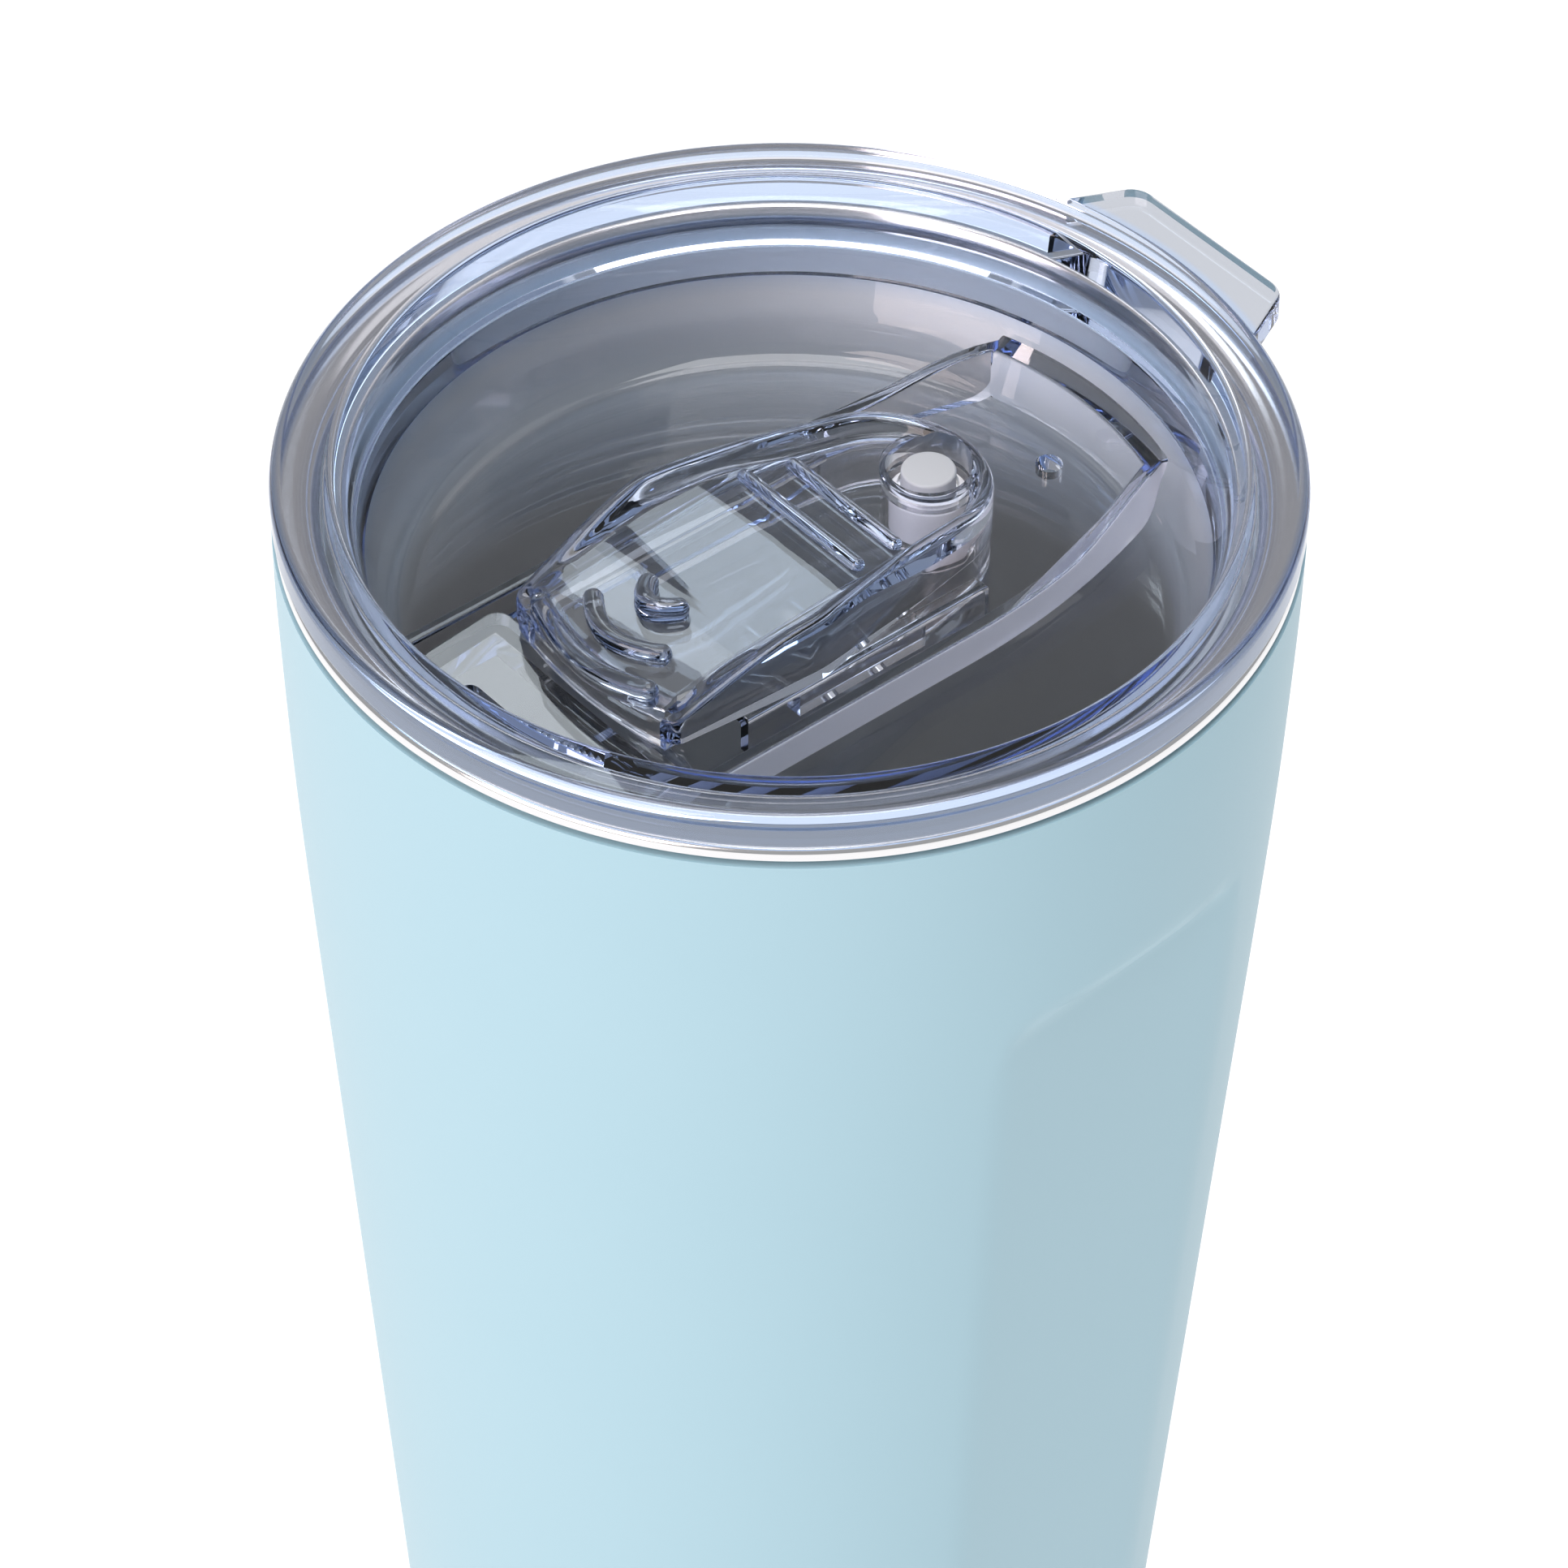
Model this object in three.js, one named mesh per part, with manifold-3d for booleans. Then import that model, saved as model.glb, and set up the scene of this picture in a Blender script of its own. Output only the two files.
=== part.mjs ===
// Insulated tumbler with a press-in lid and a sliding closure, in millimetres, +Z up.
// The origin is the centre of the foot pad's flat underside, and +Y points at the lid's thumb tab.
import * as THREE from 'three';
import { mergeVertices } from 'three/addons/utils/BufferGeometryUtils.js';
import Module from 'manifold-3d';

const wasm = await Module();
wasm.setup();

// Driving dimensions
const AROUND = 96;            // segments in a full turn of the large round parts
const GAP = 0.3;              // clearance between neighbouring parts
const TOTAL_HEIGHT = 190;     // foot pad to the top of the lid
const LID_RADIUS = 45.5;
const TAPER = 0.0692;         // radius lost per millimetre down the straight part of the body
const SHELL_WALL = 1.0;
const LINER_WALL = 0.8;

// Body: heights from the base, and the painted outside as radii with heights
const SHELL_TOP = 184.3;
const SHELL_BOTTOM = 6;
const STRAIGHT_FROM = 145;    // below this height the taper is constant
const STRAIGHT_RADIUS = 43.72;
const SHOULDER = [[44.52, 158], [44.98, 168], [45.35, 178], [45.45, SHELL_TOP]];

// Flat grip panels pressed into the shell
const PANEL_COUNT = 2;
const PANEL_TURN = THREE.MathUtils.degToRad(4.5);
const PANEL_TOP = 159;
const PANEL_BOTTOM = 20;
const PANEL_HALF_ANGLE = THREE.MathUtils.degToRad(19.5);
const PANEL_LEDGE = 4;        // how far outwards the sloped ledges at both ends are cut
const PANEL_REACH = 26;       // half width of the cutter, past the edges of the widest panel

// Liner: inside radii
const LINER_MOUTH_RADIUS = 41.2;
const LINER_FLOOR = 12;
const LIP_TOP = 186.1;
const LIP_RADIUS = 45.3;
const LIP_HEIGHT = 1.2;

// Lid: heights down from its top face
const FLANGE_DEPTH = 3.6;
const BOWL_FLOOR = 17.2;
const LID_WALL = 1.8;
const FENCE_TOP = 13.8;
const FENCE_X = 15.2;
const FENCE_WALL = 1.4;
const FENCE_BEND_FROM = 8;    // y where the fences start to lean in
const FENCE_BEND_RADIUS = 73;
const RAIL_X = 11.9;
const RAIL_WALL = 1.0;
const RAIL_LIP = 0.8;
const RAIL_TOP = 13.2;
const RAIL_FROM = -15;
const RAIL_TO = 12.7;
const PLATFORM_TOP = 14.2;
const PLATFORM_FROM = -20;
const MOUTH_HALF = 8.5;       // drinking slot
const MOUTH_FROM = -29.2;
const MOUTH_RADIUS = 34.0;
const VENT_Y = 31;
const VENT_RADIUS = 1.25;
const TAB_REACH = 50;

// Slider: y along the track, heights down from the lid's top face
const SLIDER_FRONT = -22.3;   // the front corners
const SLIDER_BULGE = 2.0;     // how far the front edge bows out past its corners
const SLIDER_TIP = SLIDER_FRONT - SLIDER_BULGE;
const SLIDER_FRONT_HALF = 11.2;
const SLIDER_BOW = (SLIDER_FRONT_HALF ** 2 + SLIDER_BULGE ** 2) / (2 * SLIDER_BULGE);
const SHOULDER_Y = -7;
const SHOULDER_HALF = 12.7;
const SLIDER_END_Y = 11.4;
const SLIDER_END_RADIUS = 9.5;
const SLIDER_FOOT = 17.0;
const SLIDER_WALL = 1.6;
const SLIDER_STEP = 12.9;     // below this depth the slider is narrow enough to pass the rails
const SLIDER_LOW_HALF = 10.2;
const DEEP_FROM = -9.5;
const PLUG_Y = 16.3;
const STUD_RADIUS = 2.5;
const STUD_TOP = 9.8;
const PLUG_RADIUS = 3.6;
const POCKET_FLOOR = 11.5;
const POCKET_PLATE = 1.0;

// Materials
const paint = new THREE.MeshStandardMaterial({ color: 0xbfdde7, roughness: 0.42, metalness: 0.0 });
const steel = new THREE.MeshStandardMaterial({ color: 0xb9bbbd, roughness: 0.3, metalness: 1.0 });
const clear = new THREE.MeshStandardMaterial({ color: 0xdde6f0, roughness: 0.04, metalness: 0.0 });
const silicone = new THREE.MeshStandardMaterial({ color: 0xe6ebee, roughness: 0.4, metalness: 0.0 });
const glaze = new THREE.MeshStandardMaterial({ color: 0x6d7378, roughness: 0.5, metalness: 0.2 });
clear.transparent = true;
clear.opacity = 0.35;

// --- Shapes and solids ---

function solid(geometry) {
  const bare = geometry.clone();
  bare.deleteAttribute('normal');
  bare.deleteAttribute('uv');
  const merged = mergeVertices(bare, 1e-5);
  const vertProperties = new Float32Array(merged.attributes.position.array);
  const triVerts = new Uint32Array(merged.index.array);
  return new wasm.Manifold(new wasm.Mesh({ numProp: 3, vertProperties, triVerts }));
}

function part(name, shape, material) {
  const made = shape.getMesh();
  const geometry = new THREE.BufferGeometry();
  geometry.setAttribute('position', new THREE.BufferAttribute(made.vertProperties, 3));
  geometry.setIndex(new THREE.BufferAttribute(made.triVerts, 1));
  geometry.computeVertexNormals();
  const mesh = new THREE.Mesh(geometry, material);
  mesh.name = name;
  return mesh;
}

// Turns a profile of [radius, height] points about Z; it runs upwards along the outside.
function turned(profile, segments = AROUND) {
  const points = profile.map(([radius, height]) => new THREE.Vector2(radius, height));
  return solid(new THREE.LatheGeometry(points, segments).rotateX(Math.PI / 2));
}

function drum(radius, low, high, segments = 40) {
  return turned([[0, low], [radius, low], [radius, high], [0, high]], segments);
}

function drumAt(x, y, radius, low, high, segments = 40) {
  return drum(radius, low, high, segments).translate([x, y, 0]);
}

function box(x0, x1, y0, y1, z0, z1) {
  const geometry = new THREE.BoxGeometry(x1 - x0, y1 - y0, z1 - z0);
  return solid(geometry.translate((x0 + x1) / 2, (y0 + y1) / 2, (z0 + z1) / 2));
}

function plan(shape, low, high) {
  const options = { depth: high - low, bevelEnabled: false, curveSegments: 16 };
  return solid(new THREE.ExtrudeGeometry(shape, options).translate(0, 0, low));
}

function outline(points) {
  return new THREE.Shape(points.map(([x, y]) => new THREE.Vector2(x, y)));
}

// A profile in y and z, made into a bar that runs along X.
function sideways(points, halfWidth) {
  const geometry = new THREE.ExtrudeGeometry(outline(points), { depth: 2 * halfWidth, bevelEnabled: false });
  geometry.translate(0, 0, -halfWidth);
  const basis = new THREE.Matrix4().makeBasis(
    new THREE.Vector3(0, 1, 0), new THREE.Vector3(0, 0, 1), new THREE.Vector3(1, 0, 0));
  return solid(geometry.applyMatrix4(basis));
}

// A height in the lid, from its depth under the top face.
function down(depth) {
  return TOTAL_HEIGHT - depth;
}

// --- Body ---

function bodyRadius(height) {
  return STRAIGHT_RADIUS - TAPER * (STRAIGHT_FROM - height);
}

function panelDistance(height) {
  return bodyRadius(height) * Math.cos(PANEL_HALF_ANGLE);
}

// Everything outside one panel's plane, between its two sloped ledges.
function panelCutter(index, inset) {
  const low = PANEL_BOTTOM - inset;
  const high = PANEL_TOP + inset;
  const profile = outline([
    [panelDistance(low) - inset, low],
    [panelDistance(low) + PANEL_LEDGE, low - PANEL_LEDGE],
    [panelDistance(high) + 2 * PANEL_LEDGE, low - PANEL_LEDGE],
    [panelDistance(high) + 2 * PANEL_LEDGE, high + 2 * PANEL_LEDGE],
    [panelDistance(high) - inset, high],
  ]);
  const geometry = new THREE.ExtrudeGeometry(profile, { depth: 2 * PANEL_REACH, bevelEnabled: false });
  geometry.translate(0, 0, -PANEL_REACH);
  const basis = new THREE.Matrix4().makeBasis(
    new THREE.Vector3(1, 0, 0), new THREE.Vector3(0, 0, 1), new THREE.Vector3(0, -1, 0));
  geometry.applyMatrix4(basis);
  geometry.rotateZ(PANEL_TURN + (index * 2 * Math.PI) / PANEL_COUNT);
  return solid(geometry);
}

function withPanels(round, inset) {
  let shape = round;
  for (let index = 0; index < PANEL_COUNT; index += 1) {
    shape = shape.subtract(panelCutter(index, inset));
  }
  return shape;
}

function makeOuterShell() {
  const outside = [[bodyRadius(SHELL_BOTTOM), SHELL_BOTTOM], [STRAIGHT_RADIUS, STRAIGHT_FROM], ...SHOULDER];
  const inside = outside.map(([radius, height]) => [radius - SHELL_WALL, height]);
  inside[0][1] -= 1;
  inside[inside.length - 1][1] += 1;
  const solidOf = (points) => turned([[0, points[0][1]], ...points, [0, points[points.length - 1][1]]]);
  return withPanels(solidOf(outside), 0).subtract(withPanels(solidOf(inside), SHELL_WALL));
}

function makeInnerLiner() {
  const lipInner = LIP_TOP - 0.5;
  const mouthLow = 178;
  const wallLow = STRAIGHT_FROM + 13;
  const clearance = 5.3;
  const inner = (height) => bodyRadius(height) - clearance;
  const floorInner = LINER_FLOOR + LINER_WALL;
  return turned([
    [0, LINER_FLOOR],
    [inner(LINER_FLOOR) - 3, LINER_FLOOR],
    [inner(LINER_FLOOR + 4) + LINER_WALL, LINER_FLOOR + 4],
    [inner(wallLow) + LINER_WALL, wallLow],
    [LINER_MOUTH_RADIUS - 0.6 + LINER_WALL, mouthLow],
    [LINER_MOUTH_RADIUS + LINER_WALL, LIP_TOP - LIP_HEIGHT - GAP],
    [LIP_RADIUS - 0.6, LIP_TOP - LIP_HEIGHT - GAP],
    [LIP_RADIUS - 0.6, LIP_TOP - LIP_HEIGHT],
    [LIP_RADIUS, LIP_TOP - LIP_HEIGHT],
    [LIP_RADIUS, LIP_TOP - 0.4],
    [LIP_RADIUS - 0.4, LIP_TOP],
    [LINER_MOUTH_RADIUS + 0.5, LIP_TOP],
    [LINER_MOUTH_RADIUS, lipInner],
    [LINER_MOUTH_RADIUS - 0.6, mouthLow],
    [inner(wallLow), wallLow],
    [inner(floorInner + 4), floorInner + 4],
    [inner(floorInner) - 3.6, floorInner],
    [0, floorInner],
  ]);
}

const BASE_LOW = 1.6;
const BASE_SKIRT_TOP = SHELL_BOTTOM - GAP;
const BASE_PLATE_TOP = 3.4;
const SEAL_RADIUS = 2.5;

function makeBaseCap() {
  const edge = bodyRadius(SHELL_BOTTOM);
  const cup = turned([
    [0, BASE_LOW],
    [edge - 2.4, BASE_LOW],
    [edge - 0.3, BASE_LOW + 1.6],
    [edge, BASE_SKIRT_TOP],
    [edge - SHELL_WALL, BASE_SKIRT_TOP],
    [edge - SHELL_WALL - 1.2, BASE_PLATE_TOP],
    [0, BASE_PLATE_TOP],
  ]);
  return cup.subtract(drum(SEAL_RADIUS + GAP, BASE_LOW - 1, BASE_PLATE_TOP + 1));
}

function makeVacuumSeal() {
  return drum(SEAL_RADIUS, BASE_LOW + 0.2, BASE_PLATE_TOP);
}

function makeFootPad() {
  const radius = bodyRadius(SHELL_BOTTOM) - 2.8;
  const top = BASE_LOW - GAP;
  return turned([[0, 0], [radius - 0.5, 0], [radius, 0.5], [radius, top], [0, top]]);
}

function makeGetter() {
  const radius = 6;
  const height = 2.2;
  const top = LINER_FLOOR - GAP;
  return turned([[0, top - height], [radius, top - height], [radius, top], [0, top]], 40);
}

// --- Lid ---

const GROOVE_TOP = 7.0;
const GROOVE_LOW = 10.4;
const GROOVE_RADIUS = 38.7;
const SEAL_RING_RADIUS = 40.3;

function lidBowl() {
  return turned([
    [0, down(BOWL_FLOOR + LID_WALL)],
    [33.6, down(BOWL_FLOOR + LID_WALL)],
    [36.6, down(BOWL_FLOOR + LID_WALL - 1.4)],
    [38.0, down(15)],
    [39.6, down(GROOVE_LOW)],
    [GROOVE_RADIUS, down(GROOVE_LOW)],
    [GROOVE_RADIUS, down(GROOVE_TOP)],
    [40.1, down(GROOVE_TOP)],
    [40.7, down(FLANGE_DEPTH)],
    [LID_RADIUS - 0.5, down(FLANGE_DEPTH)],
    [LID_RADIUS, down(FLANGE_DEPTH - 0.5)],
    [LID_RADIUS, down(0.9)],
    [LID_RADIUS - 0.9, down(0)],
    [40.6, down(0)],
    [39.7, down(0.7)],
    [39.2, down(2)],
    [36.2, down(13.5)],
    [35.0, down(15.8)],
    [32.4, down(BOWL_FLOOR)],
    [0, down(BOWL_FLOOR)],
  ]);
}

function thumbTab() {
  const shape = outline([
    [-12.7, 42], [12.7, 42], [12.7, 43.7], [11.2, 45.2], [9.6, 48.2], [8.0, 49.6], [6.4, TAB_REACH],
    [-6.4, TAB_REACH], [-8.0, 49.6], [-9.6, 48.2], [-11.2, 45.2], [-12.7, 43.7],
  ]);
  return plan(shape, down(3.2), down(0.6));
}

function fenceOffset(y) {
  const along = Math.max(0, y - FENCE_BEND_FROM);
  return (along * along) / (2 * FENCE_BEND_RADIUS);
}

function makeFence(side) {
  const stations = [-34, FENCE_BEND_FROM, 13, 18, 23, 28, 34.4];
  const line = (shift) => stations.map((y) => [side * (FENCE_X + shift - fenceOffset(y)), y]);
  const wall = outline([...line(-FENCE_WALL / 2), ...line(FENCE_WALL / 2).reverse()]);
  return plan(wall, down(BOWL_FLOOR + 0.5), down(FENCE_TOP));
}

function makeRail(side) {
  const inner = side * (RAIL_X - RAIL_WALL / 2);
  const outer = side * (RAIL_X + RAIL_WALL / 2);
  const lip = side * (RAIL_X - RAIL_WALL / 2 - RAIL_LIP);
  const span = (a, b, low, high) => box(Math.min(a, b), Math.max(a, b), RAIL_FROM, RAIL_TO, low, high);
  const web = span(inner, outer, down(BOWL_FLOOR + 0.5), down(RAIL_TOP));
  return web.add(span(lip, outer, down(RAIL_TOP + 1), down(RAIL_TOP)));
}

function drinkingSlot() {
  const start = Math.asin(MOUTH_HALF / MOUTH_RADIUS);
  const shape = new THREE.Shape();
  shape.moveTo(MOUTH_HALF, MOUTH_FROM);
  shape.lineTo(-MOUTH_HALF, MOUTH_FROM);
  shape.absarc(0, 0, MOUTH_RADIUS, -Math.PI / 2 - start, -Math.PI / 2 + start, false);
  return plan(shape, down(BOWL_FLOOR + 4), down(PLATFORM_TOP - 2));
}

function makeLid() {
  const reach = FENCE_X + FENCE_WALL / 2;
  const insideWall = drum(36.6, down(BOWL_FLOOR + LID_WALL), down(PLATFORM_TOP), AROUND);
  const platform = box(-reach, reach, -38, PLATFORM_FROM, down(BOWL_FLOOR + LID_WALL), down(PLATFORM_TOP));
  const underside = drum(34.8, down(BOWL_FLOOR + 3), down(PLATFORM_TOP + LID_WALL), AROUND);
  const hollow = box(-reach + 1.6, reach - 1.6, -38, PLATFORM_FROM - 1.6,
    down(BOWL_FLOOR + 3), down(PLATFORM_TOP + LID_WALL));
  const rearWall = box(-11, 11, 30, 37, down(BOWL_FLOOR + 0.5), down(12.4))
    .intersect(drum(37, down(BOWL_FLOOR + 0.5), down(12.4), AROUND))
    .subtract(drum(34.4, down(BOWL_FLOOR + 1), down(12), AROUND));
  let lid = lidBowl().add(thumbTab());
  lid = lid.add(platform.intersect(insideWall));
  lid = lid.add(rearWall);
  for (const side of [-1, 1]) {
    const fence = makeFence(side).intersect(drum(36.6, down(BOWL_FLOOR + 1), down(12), AROUND));
    lid = lid.add(fence).add(makeRail(side));
  }
  lid = lid.subtract(hollow.intersect(underside));
  lid = lid.subtract(drinkingSlot());
  return lid.subtract(drumAt(0, VENT_Y, VENT_RADIUS, down(BOWL_FLOOR + 4), down(BOWL_FLOOR - 1), 20));
}

function makeGasket() {
  return turned([
    [GROOVE_RADIUS + GAP, down(GROOVE_LOW - GAP)],
    [SEAL_RING_RADIUS - 0.5, down(GROOVE_LOW - GAP)],
    [SEAL_RING_RADIUS, down(GROOVE_LOW - 1.1)],
    [SEAL_RING_RADIUS - 0.3, down((GROOVE_LOW + GROOVE_TOP) / 2)],
    [SEAL_RING_RADIUS, down(GROOVE_TOP + 1.1)],
    [SEAL_RING_RADIUS - 0.5, down(GROOVE_TOP + GAP)],
    [GROOVE_RADIUS + GAP, down(GROOVE_TOP + GAP)],
    [GROOVE_RADIUS + GAP, down(GROOVE_LOW - GAP)],
  ]);
}

// --- Slider ---

// The slider's plan, drawn in by an inset and no wider than a limit.
function sliderPlan(inset, widest = SHOULDER_HALF) {
  const front = Math.min(SLIDER_FRONT_HALF, widest) - inset;
  const shoulder = Math.min(SHOULDER_HALF, widest) - inset;
  const radius = SLIDER_END_RADIUS - inset;
  const shape = new THREE.Shape();
  const bow = SLIDER_BOW - inset;
  const turn = Math.asin(front / bow);
  shape.absarc(0, SLIDER_TIP + SLIDER_BOW, bow, -Math.PI / 2 - turn, -Math.PI / 2 + turn, false);
  shape.lineTo(shoulder, SHOULDER_Y);
  shape.lineTo(radius, SLIDER_END_Y);
  shape.absarc(0, SLIDER_END_Y, radius, 0, Math.PI, false);
  shape.lineTo(-shoulder, SHOULDER_Y);
  return shape;
}

function makeSlider() {
  const rear = SLIDER_END_Y + SLIDER_END_RADIUS;
  const rimLine = [[rear, down(8.7)], [SHOULDER_Y, down(5.9)], [SLIDER_TIP, down(11.4)]];
  const trayLine = [[rear, down(9.7)], [6, down(8.9)], [SHOULDER_Y, down(8)], [-15, down(9.2)],
    [SLIDER_TIP, down(11.9)]];
  const ceilingLine = trayLine.map(([y, z]) => [y, z - SLIDER_WALL]);
  const wide = SHOULDER_HALF + 1;

  const upper = plan(sliderPlan(0), down(SLIDER_STEP), down(5));
  const lower = plan(sliderPlan(0, SLIDER_LOW_HALF), down(SLIDER_FOOT), down(SLIDER_STEP - 0.2));
  const sides = sideways([[SLIDER_TIP, down(13.9)], [DEEP_FROM, down(13.9)], [DEEP_FROM, down(SLIDER_FOOT)],
    [rear, down(SLIDER_FOOT)], ...rimLine], wide);
  const tray = plan(sliderPlan(1.3), down(14), down(4))
    .intersect(sideways([...trayLine, [SLIDER_TIP, down(4)], [rear, down(4)]], wide));
  const hollow = plan(sliderPlan(SLIDER_WALL, SLIDER_LOW_HALF), down(SLIDER_FOOT + 1), down(6))
    .intersect(sideways([[rear, down(SLIDER_FOOT + 1)], ...ceilingLine,
      [SLIDER_TIP, down(SLIDER_FOOT + 1)]], wide));
  const boss = drumAt(0, PLUG_Y, PLUG_RADIUS + GAP + 0.9, down(SLIDER_FOOT), down(9.4))
    .intersect(plan(sliderPlan(0.2), down(SLIDER_FOOT), down(9.4)));

  let slider = upper.add(lower).intersect(sides);
  slider = slider.subtract(tray).subtract(hollow).add(boss);
  for (const side of [-1, 1]) {
    const foot = box(SLIDER_LOW_HALF - 1, SLIDER_LOW_HALF + 0.9, DEEP_FROM, 7, down(SLIDER_FOOT), down(14.6));
    slider = slider.add(side > 0 ? foot : foot.mirror([1, 0, 0]));
  }
  slider = slider.subtract(drumAt(0, PLUG_Y, PLUG_RADIUS + GAP, down(POCKET_FLOOR), down(5)));
  slider = slider.subtract(drumAt(0, PLUG_Y, STUD_RADIUS + GAP, down(15), down(5)));
  slider = slider.subtract(
    drumAt(0, PLUG_Y, PLUG_RADIUS + GAP, down(SLIDER_FOOT + 1), down(POCKET_FLOOR + POCKET_PLATE)));
  for (const y of [1.3, 6.3]) {
    const height = down(8.0);
    slider = slider.add(box(-7.4, 7.4, y - 0.7, y + 0.7, height - 1.6, height + 0.5));
  }
  return slider;
}

function makeSliderPlug() {
  const discTop = POCKET_FLOOR + POCKET_PLATE + GAP;
  return turned([
    [0, down(SLIDER_FOOT - 0.1)],
    [PLUG_RADIUS, down(SLIDER_FOOT - 0.1)],
    [PLUG_RADIUS, down(discTop)],
    [STUD_RADIUS, down(discTop)],
    [STUD_RADIUS, down(STUD_TOP)],
    [0, down(STUD_TOP)],
  ], 40).translate([0, PLUG_Y, 0]);
}

// --- Assembly ---

const cup = new THREE.Group();
cup.add(part('outer_shell', makeOuterShell(), paint));
cup.add(part('inner_liner', makeInnerLiner(), steel));
cup.add(part('base_cap', makeBaseCap(), steel));
cup.add(part('vacuum_seal', makeVacuumSeal(), glaze));
cup.add(part('getter', makeGetter(), glaze));
cup.add(part('foot_pad', makeFootPad(), silicone));

const slider = new THREE.Group();
slider.add(part('slider', makeSlider(), clear));
slider.add(part('slider_plug', makeSliderPlug(), silicone));

const lid = new THREE.Group();
lid.add(part('lid_shell', makeLid(), clear));
lid.add(part('lid_gasket', makeGasket(), silicone));
lid.add(slider);

const group = new THREE.Group();
group.add(cup);
group.add(lid);

export default group;
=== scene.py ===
# An insulated tumbler with a clear press-in lid and a sliding closure.
# In metres, +Z up, +Y towards the thumb tab.
import math

import bmesh
import bpy
from mathutils import Matrix, Vector


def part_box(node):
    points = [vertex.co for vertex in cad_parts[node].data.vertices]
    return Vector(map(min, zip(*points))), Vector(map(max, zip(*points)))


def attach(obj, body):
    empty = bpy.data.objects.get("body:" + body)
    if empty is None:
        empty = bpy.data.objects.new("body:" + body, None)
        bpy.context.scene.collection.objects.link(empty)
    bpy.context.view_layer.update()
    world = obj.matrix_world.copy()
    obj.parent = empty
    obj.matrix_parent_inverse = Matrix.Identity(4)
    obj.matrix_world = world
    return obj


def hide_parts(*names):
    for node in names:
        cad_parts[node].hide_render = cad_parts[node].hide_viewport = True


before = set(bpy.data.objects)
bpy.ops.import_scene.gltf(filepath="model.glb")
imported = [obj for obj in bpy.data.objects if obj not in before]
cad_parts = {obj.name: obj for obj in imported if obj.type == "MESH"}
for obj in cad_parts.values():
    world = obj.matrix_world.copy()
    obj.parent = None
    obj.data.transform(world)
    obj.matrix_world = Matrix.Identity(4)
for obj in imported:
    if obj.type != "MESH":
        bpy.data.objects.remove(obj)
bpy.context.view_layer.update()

MM = 0.001

# --- Camera, floor and lights ---
# A long lens looks down on the lid from in front of the drinking side, so the base falls out of the frame.
# The floor is a plain white sweep, and soft boxes stand round it as in a small product studio.
lid_low, lid_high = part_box("lid_shell")
LID_TOP = lid_high[2]
VIEW_TURN = math.radians(49.5)
VIEW_RISE = math.radians(40.70)
VIEW_PITCH = math.radians(43.185)
VIEW_ROLL = math.radians(0.644)
VIEW_DISTANCE = 0.650
VIEW_ASIDE = -0.0002
LENS = 170.7

scene = bpy.context.scene
scene.view_settings.view_transform = "Standard"
scene.cycles.max_bounces = 32
scene.cycles.transmission_bounces = 32
scene.cycles.transparent_max_bounces = 32
scene.cycles.glossy_bounces = 12
scene.cycles.diffuse_bounces = 6

spin_view = Matrix.Rotation(VIEW_TURN, 3, "Z")
forward = spin_view @ Vector((0, math.cos(VIEW_PITCH), -math.sin(VIEW_PITCH)))
level = spin_view @ Vector((1, 0, 0))
right = Matrix.Rotation(-VIEW_ROLL, 3, forward) @ level
upward = right.cross(forward)
camera = bpy.data.objects.new("view", bpy.data.cameras.new("view"))
camera.data.lens = LENS
camera.data.sensor_width = 36
camera.data.clip_start = 0.05
camera.data.clip_end = 20
camera.matrix_world = Matrix((
    (right.x, upward.x, -forward.x, 0),
    (right.y, upward.y, -forward.y, 0),
    (right.z, upward.z, -forward.z, 0),
    (0, 0, 0, 1),
))
camera.location = Vector((0, 0, LID_TOP)) + spin_view @ Vector(
    (VIEW_ASIDE, -VIEW_DISTANCE * math.cos(VIEW_RISE), VIEW_DISTANCE * math.sin(VIEW_RISE)))
scene.collection.objects.link(camera)
scene.camera = camera


def soft_box(name, bearing, rise, distance, width, height, power, colour=(1, 1, 1)):
    """A rectangular lamp aimed at the lid. Bearing 0 is behind the camera and 90 is on its right."""
    lamp = bpy.data.objects.new(name, bpy.data.lights.new(name, "AREA"))
    lamp.data.shape = "RECTANGLE"
    lamp.data.size = width
    lamp.data.size_y = height
    lamp.data.energy = power
    lamp.data.color = colour
    turn = math.radians(bearing)
    lift = math.radians(rise)
    away = spin_view @ Vector((math.sin(turn), -math.cos(turn), 0))
    target = Vector((0, 0, LID_TOP))
    spoke = math.cos(lift) * away + math.sin(lift) * Vector((0, 0, 1))
    lamp.location = target + distance * spoke
    lamp.rotation_euler = spoke.to_track_quat("Z", "Y").to_euler()
    scene.collection.objects.link(lamp)
    return lamp


soft_box("key", bearing=-43, rise=28, distance=1.2, width=0.9, height=0.9, power=10.4,
         colour=(1.0, 0.85, 0.81))
soft_box("top", bearing=0, rise=84, distance=1.1, width=0.7, height=0.7, power=6.5)
soft_box("seat", bearing=193, rise=48.7, distance=1.2, width=0.3, height=0.16, power=0.55,
         colour=(0.82, 0.925, 1.0))
soft_box("back", bearing=178, rise=60, distance=1.2, width=1.2, height=0.5, power=1.6)

world = bpy.data.worlds.new("studio")
world.use_nodes = True
world.node_tree.nodes["Background"].inputs["Color"].default_value = (0.97, 0.985, 1.0, 1)
world.node_tree.nodes["Background"].inputs["Strength"].default_value = 0.42
scene.world = world

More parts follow.
